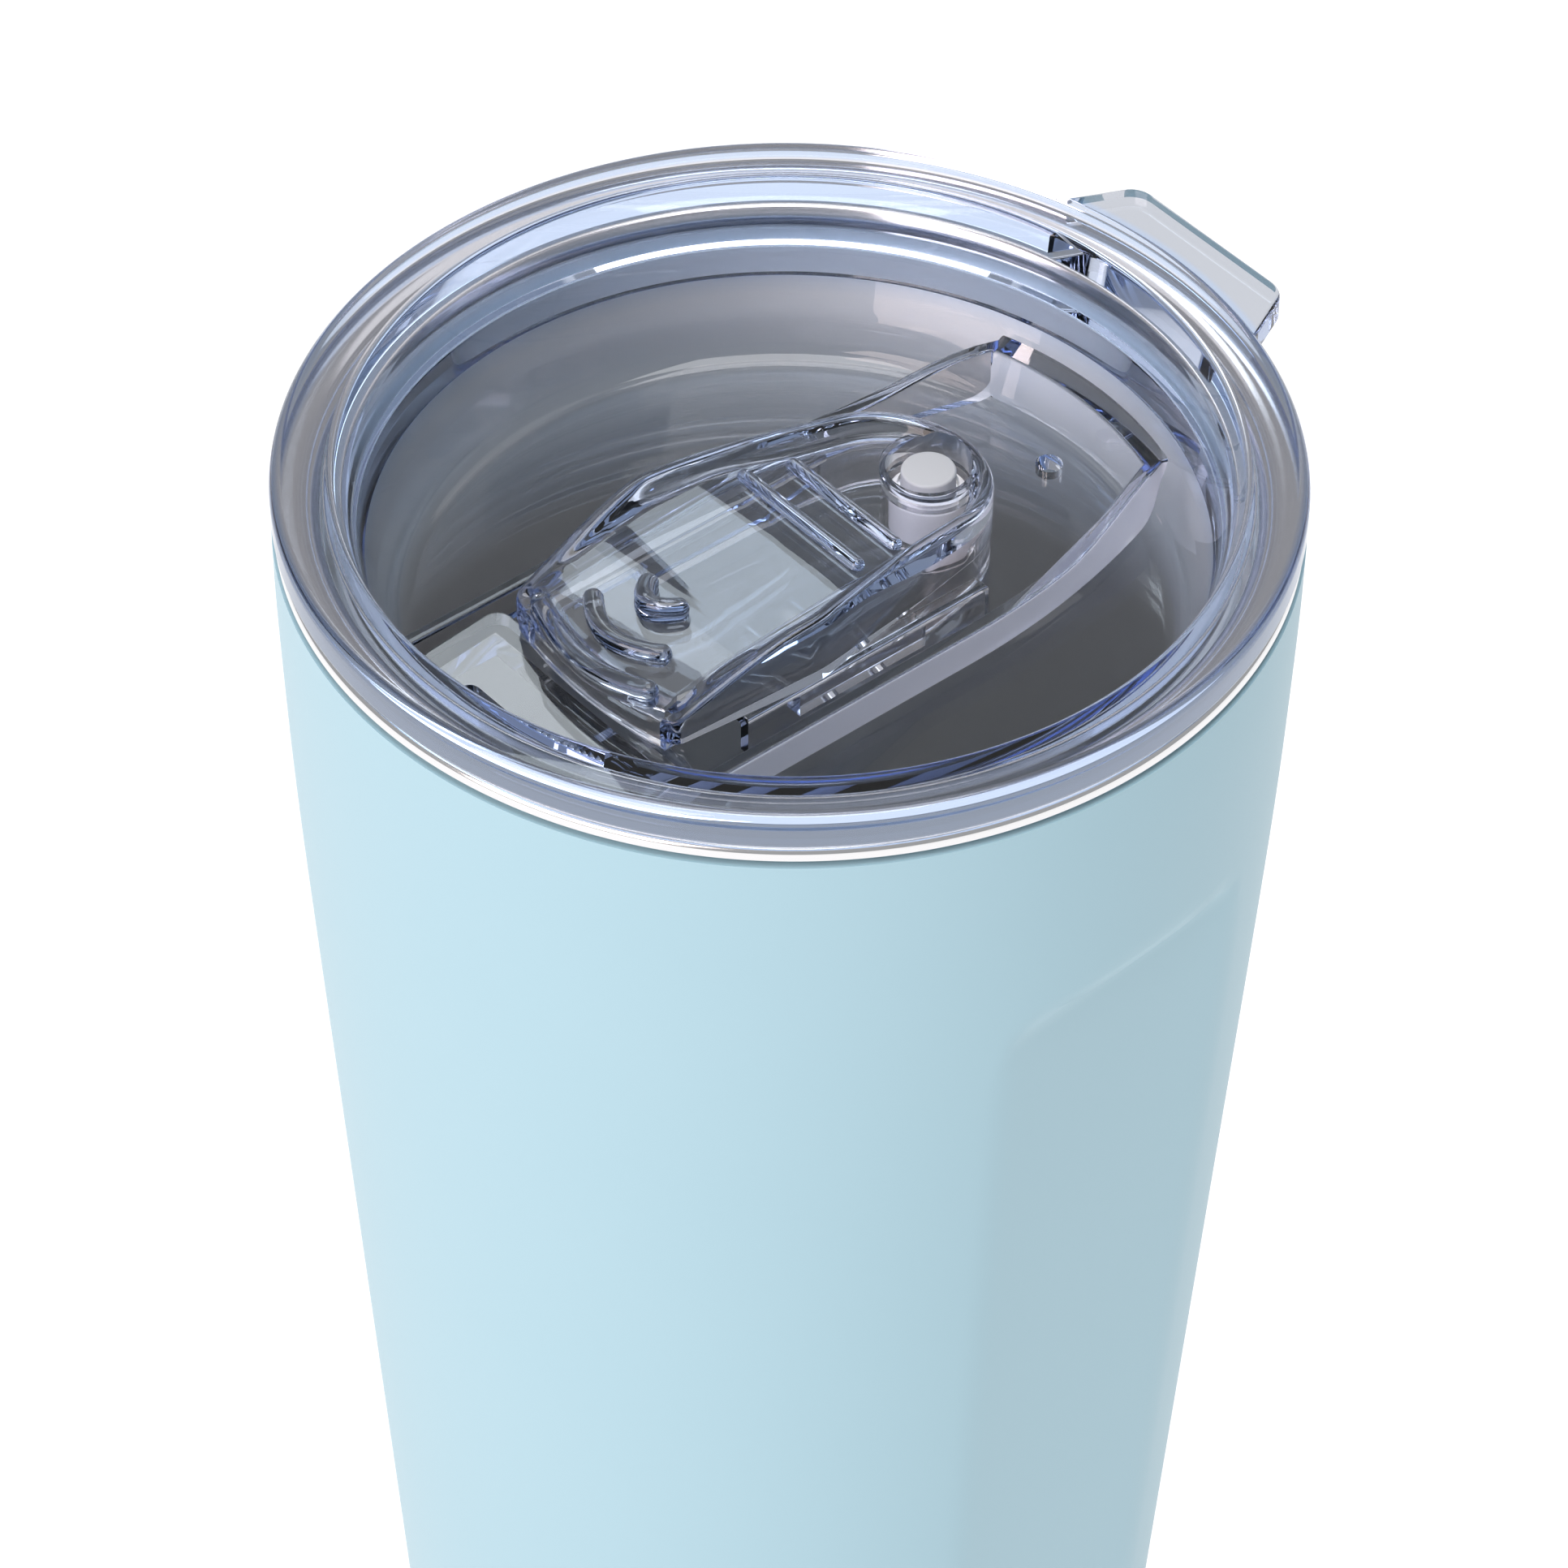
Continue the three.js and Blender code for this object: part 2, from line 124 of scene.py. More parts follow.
FLOOR_HALF = 3.0
floor_mesh = bmesh.new()
bmesh.ops.create_grid(floor_mesh, x_segments=2, y_segments=2, size=FLOOR_HALF)
floor_data = bpy.data.meshes.new("floor")
floor_mesh.to_mesh(floor_data)
floor_mesh.free()
floor = bpy.data.objects.new("floor", floor_data)
scene.collection.objects.link(floor)
floor_paint = bpy.data.materials.new("floor_paint")
floor_paint.use_nodes = True
floor_shader = floor_paint.node_tree.nodes["Principled BSDF"]
floor_shader.inputs["Base Color"].default_value = (0.3, 0.3, 0.3, 1)
floor_shader.inputs["Roughness"].default_value = 0.9
floor_shader.inputs["Emission Color"].default_value = (1, 1, 1, 1)
floor_shader.inputs["Emission Strength"].default_value = 0.84
floor.data.materials.append(floor_paint)

# --- Outer shell ---
# The painted outside wall of the vacuum body, drawn from stainless sheet and rolled to a taper.
# Two flat grip panels are pressed into it, and it is powder coated in pale blue with a satin finish.
shell_low, shell_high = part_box("outer_shell")
SHELL_TOP = shell_high[2]
SHELL_BOTTOM = shell_low[2]
TAPER = 0.0692
STRAIGHT_FROM = 145 * MM
STRAIGHT_RADIUS = 43.72 * MM
SHELL_WALL = 1.0 * MM
PANEL_TURNS = [math.radians(4.5), math.radians(184.5)]
PANEL_TOP = 159 * MM
PANEL_BOTTOM = 20 * MM
PANEL_HALF_ANGLE = math.radians(19.5)
PANEL_CORNER = 3.2 * MM
PANEL_SOFTNESS = 0.55 * MM
PAINT_COLOUR = (0.372, 0.578, 0.67)
SHELL_STEPS = 360


def body_radius(height):
    """The painted radius of the straight taper."""
    return STRAIGHT_RADIUS - TAPER * (STRAIGHT_FROM - height)


def smooth_line(points, count):
    """A smooth curve of count points through a few (radius, height) points, even in height."""
    heights = [points[0][1] + (points[-1][1] - points[0][1]) * step / (count - 1) for step in range(count)]
    line = []
    for height in heights:
        index = 0
        while index < len(points) - 2 and height > points[index + 1][1]:
            index += 1
        before = points[max(index - 1, 0)]
        start, end = points[index], points[index + 1]
        after = points[min(index + 2, len(points) - 1)]
        rise = end[1] - start[1]
        share = (height - start[1]) / rise
        slope_in = (end[0] - before[0]) / (end[1] - before[1]) * rise
        slope_out = (after[0] - start[0]) / (after[1] - start[1]) * rise
        square, cube = share * share, share ** 3
        radius = ((2 * cube - 3 * square + 1) * start[0] + (cube - 2 * square + share) * slope_in
                  + (3 * square - 2 * cube) * end[0] + (cube - square) * slope_out)
        line.append((radius, height))
    return line


def rounded(corners, steps=6):
    """A profile whose corners are arcs. Each corner is (radius, height) or (radius, height, fillet)."""
    line = []
    count = len(corners)
    for index, corner in enumerate(corners):
        point = Vector(corner[:2])
        fillet = corner[2] if len(corner) > 2 else 0
        if not fillet:
            line.append(tuple(point))
            continue
        back = (Vector(corners[index - 1][:2]) - point).normalized()
        ahead = (Vector(corners[(index + 1) % count][:2]) - point).normalized()
        opening = back.angle(ahead)
        reach = fillet / math.tan(opening / 2)
        start, end = point + back * reach, point + ahead * reach
        centre = point + (back + ahead).normalized() * (fillet / math.sin(opening / 2))
        first, last = start - centre, end - centre
        sweep = first.angle(last)
        for step in range(steps + 1):
            share = step / steps
            spoke = (first * math.sin((1 - share) * sweep) + last * math.sin(share * sweep)) / math.sin(sweep)
            line.append(tuple(centre + spoke))
    return line


def turned(profile, steps, closed=True):
    """Spins a (radius, height) profile about the axis into a closed mesh."""
    mesh = bmesh.new()
    verts = [mesh.verts.new((radius, 0, height)) for radius, height in profile]
    pairs = list(zip(verts, verts[1:]))
    if closed:
        pairs.append((verts[-1], verts[0]))
    edges = [mesh.edges.new(pair) for pair in pairs]
    bmesh.ops.spin(mesh, geom=verts + edges, cent=(0, 0, 0), axis=(0, 0, 1), angle=2 * math.pi,
                   steps=steps, use_merge=True)
    bmesh.ops.remove_doubles(mesh, verts=mesh.verts, dist=1e-7)
    bmesh.ops.recalc_face_normals(mesh, faces=mesh.faces)
    return mesh


def finished(name, mesh, material, smooth_angle=35):
    """Makes a bmesh into an object at the origin, smooth except over sharp edges."""
    data = bpy.data.meshes.new(name)
    mesh.to_mesh(data)
    mesh.free()
    piece = bpy.data.objects.new(name, data)
    scene.collection.objects.link(piece)
    data.materials.append(material)
    shade(piece, smooth_angle)
    return piece


def shade(piece, smooth_angle=35):
    """Smooth shading, with edges sharper than the angle left sharp."""
    bpy.ops.object.select_all(action="DESELECT")
    bpy.context.view_layer.objects.active = piece
    piece.select_set(True)
    bpy.ops.object.shade_smooth_by_angle(angle=math.radians(smooth_angle))


def crisp(piece, smooth_angle):
    """Smooth shading that keeps wide flat faces flat next to their rounded edges."""
    shade(piece, smooth_angle)
    weighted = piece.modifiers.new("flat faces", "WEIGHTED_NORMAL")
    weighted.keep_sharp = True


class Wire:
    """A shader socket with arithmetic: an expression on wires adds its Math nodes."""

    def __init__(self, tree, socket):
        self.tree = tree
        self.socket = socket

    def _math(self, operation, *values):
        node = self.tree.nodes.new("ShaderNodeMath")
        node.operation = operation
        for slot, value in zip(node.inputs, values):
            if isinstance(value, Wire):
                self.tree.links.new(value.socket, slot)
            else:
                slot.default_value = value
        return Wire(self.tree, node.outputs[0])

    def __add__(self, other):
        return self._math("ADD", self, other)

    def __radd__(self, other):
        return self._math("ADD", other, self)

    def __sub__(self, other):
        return self._math("SUBTRACT", self, other)

    def __rsub__(self, other):
        return self._math("SUBTRACT", other, self)

    def __mul__(self, other):
        return self._math("MULTIPLY", self, other)

    def __rmul__(self, other):
        return self._math("MULTIPLY", other, self)


class Finish:
    """A node material. node() adds any node, and wires and values feed the shader by socket name."""

    def __init__(self, name, colour, roughness, metallic=0.0):
        self.material = bpy.data.materials.new(name)
        self.material.use_nodes = True
        self.tree = self.material.node_tree
        self.shader = self.tree.nodes["Principled BSDF"]
        self.feed(self.shader, {"Base Color": (*colour, 1), "Roughness": roughness, "Metallic": metallic})

    def feed(self, node, inputs):
        for key, value in inputs.items():
            if isinstance(value, Wire):
                self.tree.links.new(value.socket, node.inputs[key])
            else:
                node.inputs[key].default_value = value

    def node(self, kind, inputs=None, output=0, stops=None, **settings):
        node = self.tree.nodes.new(kind)
        for key, value in settings.items():
            setattr(node, key, value)
        if stops:
            ramp = node.color_ramp
            while len(ramp.elements) < len(stops):
                ramp.elements.new(1.0)
            for element, (position, shade_of) in zip(ramp.elements, stops):
                element.position = position
                element.color = shade_of
        self.feed(node, inputs or {})
        return Wire(self.tree, node.outputs[output])

    def place(self):
        return self.node("ShaderNodeTexCoord", output="Object")

    def noise(self, scale, detail=2.0, vector=None):
        inputs = {"Scale": scale, "Detail": detail, "Vector": vector or self.place()}
        return self.node("ShaderNodeTexNoise", inputs, output="Fac")

    def stretched(self, scale):
        """Object coordinates scaled by axis, for brushing and drawn grain."""
        return self.node("ShaderNodeMapping", {"Vector": self.place(), "Scale": scale})

    def mix(self, share, first, second):
        inputs = {0: share, 6: (*first, 1) if isinstance(first, tuple) else first,
                  7: (*second, 1) if isinstance(second, tuple) else second}
        return self.node("ShaderNodeMix", inputs, output=2, data_type="RGBA")

    def bump(self, height, distance, strength=1.0):
        return self.node("ShaderNodeBump", {"Height": height, "Distance": distance, "Strength": strength})

    def wear(self, **inputs):
        """Feeds the shader; a socket is named with underscores for its spaces."""
        self.feed(self.shader, {key.replace("_", " "): value for key, value in inputs.items()})
        return self.material


def soft_least(first, second, softness):
    """The smaller of two lengths, blended smoothly where they are close."""
    gap = abs(first - second)
    closeness = max(softness - gap, 0) / softness
    return min(first, second) - closeness * closeness * softness / 4


def press_panels(mesh, wall):
    """Presses both faces of a wall into the grip panels' planes, with a sloped ledge at both ends."""
    inner = {vert for vert in mesh.verts
             if math.hypot(vert.co.x, vert.co.y) < body_radius(vert.co.z) - wall / 2}
    for turn in PANEL_TURNS:
        normal = Vector((math.cos(turn), math.sin(turn), 0))
        across = Vector((-math.sin(turn), math.cos(turn), 0))
        for vert in mesh.verts:
            out = vert.co.dot(normal)
            side = vert.co.dot(across)
            height = vert.co.z
            inset = wall if vert in inner else 0
            half = body_radius(height) * math.sin(PANEL_HALF_ANGLE)
            if out <= 0 or abs(side) > half * 1.4:
                continue
            past = max(abs(side) - (half - PANEL_CORNER), 0)
            drop = PANEL_CORNER - math.sqrt(max(PANEL_CORNER ** 2 - min(past, PANEL_CORNER) ** 2, 0))
            over = max(height - (PANEL_TOP - drop), (PANEL_BOTTOM + drop) - height)
            plane = body_radius(min(height, PANEL_TOP)) * math.cos(PANEL_HALF_ANGLE) - inset
            ledge = plane + over * 1.15
            limit = -soft_least(-plane, -ledge, PANEL_SOFTNESS)
            vert.co += normal * (soft_least(out, limit, PANEL_SOFTNESS) - out)


shell_outside = smooth_line([
    (body_radius(SHELL_BOTTOM), SHELL_BOTTOM), (body_radius(60 * MM), 60 * MM),
    (body_radius(110 * MM), 110 * MM), (STRAIGHT_RADIUS, STRAIGHT_FROM),
    (44.52 * MM, 158 * MM), (44.98 * MM, 168 * MM), (45.35 * MM, 178 * MM), (45.45 * MM, SHELL_TOP)], 130)
shell_inside = [(radius - SHELL_WALL, height) for radius, height in shell_outside[::-4]]
shell_mesh = turned(shell_outside + shell_inside, SHELL_STEPS)
press_panels(shell_mesh, SHELL_WALL)

paint = Finish("powder_coat", PAINT_COLOUR, 0.42)
speck = paint.noise(5200, 3.0)
cloud = paint.noise(34, 2.0)
paint.wear(
    Base_Color=paint.mix(cloud, (0.365, 0.572, 0.665), (0.379, 0.584, 0.675)),
    Roughness=0.36 + speck * 0.1,
    Normal=paint.bump(speck, 0.000006),
    Specular_IOR_Level=0.55,
)
outer_shell = finished("painted_shell", shell_mesh, paint.material, 50)
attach(outer_shell, "cup")
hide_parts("outer_shell")

# --- Base cap ---
# A shallow steel cap welded under the shell to close the vacuum body, and coated with it.
# Its edge is rolled, and the air is pumped out through the hole in its middle.
cap_low, cap_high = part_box("base_cap")
CAP_EDGE = cap_high[0]
CAP_BOTTOM = cap_low[2]
CAP_TOP = cap_high[2]
CAP_PLATE = 1.8 * MM
SEAL_HOLE = 2.8 * MM
cap_mesh = turned(rounded([
    (SEAL_HOLE, CAP_BOTTOM, 0.3 * MM), (CAP_EDGE - 0.6 * MM, CAP_BOTTOM, 2.6 * MM),
    (CAP_EDGE, CAP_TOP, 0.1 * MM), (CAP_EDGE - SHELL_WALL, CAP_TOP, 0.1 * MM),
    (CAP_EDGE - 1.9 * MM, CAP_BOTTOM + CAP_PLATE, 1.2 * MM),
    (SEAL_HOLE, CAP_BOTTOM + CAP_PLATE, 0.3 * MM)]), SHELL_STEPS)
base_cap = finished("rolled_base_cap", cap_mesh, paint.material)
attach(base_cap, "cup")
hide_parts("base_cap")

# --- Vacuum seal ---
# A bead of glass solder that melts in the vacuum furnace and closes the pump-out hole for good.
# It is dark and glassy, with a slightly uneven face.
seal_low, seal_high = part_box("vacuum_seal")
seal_mesh = turned(rounded([
    (0, seal_low[2]), (seal_high[0], seal_low[2], 0.5 * MM), (seal_high[0], seal_high[2], 0.6 * MM),
    (0, seal_high[2])]), 48, closed=False)
solder = Finish("glass_solder", (0.09, 0.1, 0.11), 0.25)
solder.wear(Normal=solder.bump(solder.noise(900), 0.00005))
vacuum_seal = finished("solder_bead", seal_mesh, solder.material)
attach(vacuum_seal, "cup")
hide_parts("vacuum_seal")

# --- Foot pad ---
# A moulded silicone disc stuck under the base cap, so that the tumbler stands quietly and doesn't slide.
# Its lower face is flat with a shallow ring groove, and its edge is rounded.
pad_low, pad_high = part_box("foot_pad")
PAD_RADIUS = pad_high[0]
GROOVE = 4 * MM
GROOVE_DEPTH = 0.35 * MM
pad_mesh = turned(rounded([
    (0, 0), (PAD_RADIUS - 2.4 * GROOVE, 0, 0.1 * MM), (PAD_RADIUS - 2.3 * GROOVE, GROOVE_DEPTH, 0.1 * MM),
    (PAD_RADIUS - 1.7 * GROOVE, GROOVE_DEPTH, 0.1 * MM), (PAD_RADIUS - 1.6 * GROOVE, 0, 0.1 * MM),
    (PAD_RADIUS, 0, 0.6 * MM), (PAD_RADIUS, pad_high[2], 0.2 * MM), (0, pad_high[2]),
]), SHELL_STEPS, closed=False)
rubber = Finish("matte_silicone", (0.42, 0.56, 0.62), 0.62)
grit = rubber.noise(2600, 4.0)
rubber.wear(
    Base_Color=rubber.mix(grit, (0.40, 0.54, 0.60), (0.44, 0.58, 0.64)),
    Roughness=0.55 + grit * 0.15,
    Normal=rubber.bump(grit, 0.00003),
)
foot_pad = finished("silicone_foot", pad_mesh, rubber.material)
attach(foot_pad, "cup")
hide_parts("foot_pad")

# --- Inner liner ---
# The drinking cup itself, deep drawn from stainless sheet. Its wall is brushed round inside, and its mouth is
# flared out over the shell and welded to it, then polished bright as the bare drinking lip.
liner_low, liner_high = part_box("inner_liner")
LIP_TOP = liner_high[2]
LIP_RADIUS = liner_high[0]
LIP_HEIGHT = 1.2 * MM
LINER_FLOOR = liner_low[2]
LINER_WALL = 0.8 * MM
LINER_GAP = 5.3 * MM
MOUTH_RADIUS = 41.2 * MM
MOUTH_LOW = 178 * MM


def liner_radius(height):
    """The liner's inside radius."""
    return body_radius(height) - LINER_GAP


liner_mesh = turned(rounded([
    (0, LINER_FLOOR),
    (liner_radius(LINER_FLOOR) + LINER_WALL, LINER_FLOOR, 4.4 * MM),
    (liner_radius(STRAIGHT_FROM) + LINER_WALL, STRAIGHT_FROM),
    (MOUTH_RADIUS - 0.6 * MM + LINER_WALL, MOUTH_LOW, 20 * MM),
    (MOUTH_RADIUS + LINER_WALL, LIP_TOP - LIP_HEIGHT - 0.3 * MM, 0.3 * MM),
    (LIP_RADIUS - 0.6 * MM, LIP_TOP - LIP_HEIGHT - 0.3 * MM, 0.1 * MM),
    (LIP_RADIUS - 0.6 * MM, LIP_TOP - LIP_HEIGHT),
    (LIP_RADIUS, LIP_TOP - LIP_HEIGHT, 0.15 * MM),
    (LIP_RADIUS, LIP_TOP, 0.55 * MM),
    (MOUTH_RADIUS, LIP_TOP, 2.5 * MM),
    (MOUTH_RADIUS - 0.6 * MM, MOUTH_LOW, 20 * MM),
    (liner_radius(STRAIGHT_FROM), STRAIGHT_FROM),
    (liner_radius(LINER_FLOOR), LINER_FLOOR + LINER_WALL, 3.6 * MM),
    (0, LINER_FLOOR + LINER_WALL),
], 10), SHELL_STEPS, closed=False)

LIP_BRIGHT = LIP_TOP - 2.4 * MM
# Painted light: from under the polished lip down to 165 mm, the brushed wall is painted a pale blue-white
# band for light falling on the upper inside wall. It fades to the plain steel colour by 153 mm.
PAINTED_BAND_FADE_TOP = 165 * MM
PAINTED_BAND_FADE_BOTTOM = 153 * MM
steel = Finish("brushed_steel", (0.60, 0.60, 0.605), 0.3, 1.0)
height_of = steel.node("ShaderNodeSeparateXYZ", {"Vector": steel.place()}, output="Z")
below_lip = steel.node("ShaderNodeMapRange", {
    "Value": height_of, "From Min": LIP_BRIGHT, "From Max": LIP_BRIGHT - 1.2 * MM})
brushing = steel.noise(260, 6.0, steel.stretched((1, 1, 34)))
below_painted_band = steel.node("ShaderNodeMapRange", {"Value": height_of, "From Min": PAINTED_BAND_FADE_TOP, "From Max": PAINTED_BAND_FADE_BOTTOM})
# The pale blue-white above is the painted light band. The grey below is the steel's own colour.
brushed_colour_painted_band = steel.mix(below_painted_band, (0.83, 0.91, 0.96), (0.55, 0.57, 0.58))
steel.wear(
    Base_Color=steel.mix(below_lip, (0.80, 0.80, 0.81), brushed_colour_painted_band),
    Roughness=0.14 + below_lip * (0.42 - below_painted_band * 0.18 + brushing * 0.14),
    Normal=steel.bump(brushing * below_lip, 0.00003, 0.5),
)
liner = finished("steel_liner", liner_mesh, steel.material)
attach(liner, "cup")
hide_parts("inner_liner")

# --- Getter ---
# A sintered pellet in a pressed steel dish, fixed under the liner's floor inside the vacuum gap.
# Heated once in the furnace, it soaks up stray gas and keeps the vacuum for years.
getter_low, getter_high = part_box("getter")
GETTER_RADIUS = getter_high[0]
getter_mesh = turned(rounded([
    (0, getter_low[2]), (GETTER_RADIUS, getter_low[2], 0.6 * MM),
    (GETTER_RADIUS, getter_high[2], 0.2 * MM),
    (GETTER_RADIUS - 0.6 * MM, getter_high[2], 0.1 * MM),
    (GETTER_RADIUS - 0.8 * MM, getter_high[2] - 0.5 * MM),
    (0, getter_high[2] - 0.5 * MM)]), 64, closed=False)
pellet = Finish("sintered_pellet", (0.16, 0.16, 0.17), 0.6, 0.8)
pellet.wear(Normal=pellet.bump(pellet.noise(3200, 4.0), 0.00006))
getter = finished("getter_dish", getter_mesh, pellet.material)
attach(getter, "cup")
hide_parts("getter")

# --- Lid shell ---
# One clear injection moulding: a flat rim that rests on the lip, a bowl with a sliding track between two
# fences, a raised seat round the drinking slot, a vent hole and a thumb tab. Thick edges look faintly blue.
LID_RADIUS = lid_high[0]
TAB_REACH = lid_high[1]
LID_STEPS = 288
FLOOR_DEPTH = 17.2 * MM
FLOOR_WALL = 1.8 * MM
FLANGE_DEPTH = 3.6 * MM
GROOVE_HIGH = 7.0 * MM
GROOVE_LOW = 10.4 * MM
GROOVE_RADIUS = 38.7 * MM
TRACK_HALF = 15.2 * MM
FENCE_WALL = 1.4 * MM
FENCE_DEPTH = 13.8 * MM
FENCE_BEND_FROM = 8 * MM
FENCE_BEND_RADIUS = 73 * MM
FENCE_END = 34.4 * MM
TIP_DEPTH = 11.4 * MM
TIP_X = 10.6 * MM
RAIL_X = 11.9 * MM
RAIL_WALL = 1.0 * MM
RAIL_LIP = 0.8 * MM
RAIL_DEPTH = 13.2 * MM
RAIL_FROM = -15 * MM
RAIL_TO = 12.7 * MM
SEAT_DEPTH = 14.2 * MM
SEAT_HALF = 14.0 * MM
SEAT_FROM = -21.6 * MM
SEAT_SLOPE = math.radians(5.5)
MOUTH_HALF = 8.5 * MM
MOUTH_FROM = -29.2 * MM
MOUTH_CURVE = 34.0 * MM
VENT_Y = 31 * MM
VENT_RADIUS = 1.25 * MM


def down(depth):
    """A height in the lid, from its depth under the top face."""
    return LID_TOP - depth


def ease(share):
    """A smooth step from 0 to 1."""
    share = min(max(share, 0), 1)
    return share * share * (3 - 2 * share)


def prism(outline, low, high, rounding=0, segments=3):
    """An upright bar with the outline, its top edges rounded."""
    mesh = bmesh.new()
    face = mesh.faces.new([mesh.verts.new((x, y, low)) for x, y in outline])
    raised = bmesh.ops.extrude_face_region(mesh, geom=[face])["geom"]
    lifted = [item for item in raised if isinstance(item, bmesh.types.BMVert)]
    bmesh.ops.translate(mesh, vec=(0, 0, high - low), verts=lifted)
    bmesh.ops.recalc_face_normals(mesh, faces=mesh.faces)
    if rounding:
        top = [edge for edge in mesh.edges if all(vert.co.z > high - 1e-7 for vert in edge.verts)]
        bmesh.ops.bevel(mesh, geom=top, offset=rounding, offset_type="OFFSET", segments=segments, profile=0.5,
                        affect="EDGES", material=-1, clamp_overlap=True)
    return mesh


def tool(mesh):
    """A short-lived object for joining and cutting."""
    data = bpy.data.meshes.new("tool")
    mesh.to_mesh(data)
    mesh.free()
    made = bpy.data.objects.new("tool", data)
    scene.collection.objects.link(made)
    return made


def combine(piece, mesh, operation):
    """Joins a closed mesh to a piece, or cuts it away, exactly."""
    other = tool(mesh)
    cut = piece.modifiers.new("cut", "BOOLEAN")
    cut.operation = operation
    cut.solver = "EXACT"
    cut.object = other
    bpy.ops.object.select_all(action="DESELECT")
    bpy.context.view_layer.objects.active = piece
    piece.select_set(True)
    bpy.ops.object.modifier_apply(modifier=cut.name)
    bpy.data.objects.remove(other, do_unlink=True)


bowl_mesh = turned(rounded([
    (0, down(FLOOR_DEPTH + FLOOR_WALL)),
    (35.6 * MM, down(FLOOR_DEPTH + FLOOR_WALL), 3.4 * MM),
    (39.6 * MM, down(GROOVE_LOW), 0.15 * MM),
    (GROOVE_RADIUS, down(GROOVE_LOW), 0.2 * MM),
    (GROOVE_RADIUS, down(GROOVE_HIGH), 0.2 * MM),
    (40.1 * MM, down(GROOVE_HIGH), 0.15 * MM),
    (40.7 * MM, down(FLANGE_DEPTH), 0.4 * MM),
    (LID_RADIUS, down(FLANGE_DEPTH), 0.7 * MM),
    (LID_RADIUS, LID_TOP, 1.1 * MM),
    (40.0 * MM, LID_TOP, 0.8 * MM),
    (38.9 * MM, down(3.2 * MM), 4 * MM),
    (36.4 * MM, down(13.0 * MM), 3 * MM),
    (34.9 * MM, down(FLOOR_DEPTH), 2.2 * MM),
    (0, down(FLOOR_DEPTH)),
], 8), LID_STEPS, closed=False)

plastic = Finish("clear_plastic", (0.87, 0.87, 0.88), 0.012)
lid_height = plastic.node("ShaderNodeSeparateXYZ", {"Vector": plastic.place()}, output="Z")
from_axis = plastic.node("ShaderNodeVectorMath", {0: plastic.node("ShaderNodeVectorMath", {
    0: plastic.place(), 1: (1, 1, 0)}, operation="MULTIPLY")}, output="Value", operation="LENGTH")
# Inside the rim the plastic is tinted slightly warm, and at the rim's thick edge it is tinted blue. Past the
# rim, on the thumb tab, it is tinted grey as painted shade, standing in for darker surroundings seen through
# the tab.
rim_tint_tab_shade = plastic.node("ShaderNodeValToRGB", {"Fac": from_axis * (1 / (60 * MM))}, stops=[
    (0.742, (0.94, 0.90, 0.87, 1)), (0.750, (0.50, 0.64, 0.90, 1)), (0.760, (0.50, 0.64, 0.90, 1)),
    (0.768, (0.60, 0.615, 0.65, 1))])
wall_tint = plastic.node("ShaderNodeValToRGB", {"Fac": (LID_TOP - lid_height) * (1 / (20 * MM))}, stops=[
    (0.17, (1, 1, 1, 1)), (0.24, (0.76, 0.86, 1, 1)), (0.47, (0.76, 0.86, 1, 1)), (0.56, (1, 1, 1, 1))])
tint = plastic.node("ShaderNodeMix", {0: 1.0, 6: rim_tint_tab_shade, 7: wall_tint}, output=2, data_type="RGBA",
                    blend_type="MULTIPLY")
plastic.wear(Base_Color=tint, Transmission_Weight=1.0, IOR=1.54)
plastic_depth = plastic.tree.nodes.new("ShaderNodeVolumeAbsorption")
plastic_depth.inputs["Color"].default_value = (0.45, 0.62, 0.93, 1)
plastic_depth.inputs["Density"].default_value = 42
output = plastic.tree.nodes["Material Output"]
plastic.tree.links.new(plastic_depth.outputs[0], output.inputs["Volume"])
window = plastic.tree.nodes.new("ShaderNodeBsdfTransparent")
window.inputs["Color"].default_value = (0.86, 0.89, 0.93, 1)
blend = plastic.tree.nodes.new("ShaderNodeMixShader")
light_path = plastic.tree.nodes.new("ShaderNodeLightPath")
plastic.tree.links.new(light_path.outputs["Is Shadow Ray"], blend.inputs["Fac"])
plastic.tree.links.new(plastic.shader.outputs[0], blend.inputs[1])
plastic.tree.links.new(window.outputs[0], blend.inputs[2])
plastic.tree.links.new(blend.outputs[0], output.inputs["Surface"])

lid = finished("clear_lid", bowl_mesh, plastic.material)

tab_outline = rounded([
    (-13.4 * MM, 42 * MM), (13.4 * MM, 42 * MM), (12.7 * MM, 43.6 * MM, 1.5 * MM),
    (9.7 * MM, TAB_REACH, 2.6 * MM), (-9.7 * MM, TAB_REACH, 2.6 * MM), (-12.7 * MM, 43.6 * MM, 1.5 * MM)], 8)
combine(lid, prism(tab_outline, down(3.0 * MM), down(0.5 * MM), 0.5 * MM, 4), "UNION")


def fence_line(side, shift):
    """Points along a fence: straight at the front, leaning in over an arc at the back."""
    bent = FENCE_END - FENCE_BEND_FROM
    stations = [-35.5 * MM] + [FENCE_BEND_FROM + bent * step / 12 for step in range(13)]
    return [(side * (TRACK_HALF + shift - max(0, y - FENCE_BEND_FROM) ** 2 / (2 * FENCE_BEND_RADIUS)), y)
            for y in stations]


def inside_bowl(mesh, radius, low, high):
    """Trims a feature to a drum inside the bowl's wall."""
    piece = tool(mesh)
    drum = turned([(0, low), (radius, low), (radius, high), (0, high)], LID_STEPS, closed=False)
    combine(piece, drum, "INTERSECT")
    trimmed = bmesh.new()
    trimmed.from_mesh(piece.data)
    bpy.data.objects.remove(piece, do_unlink=True)
    return trimmed


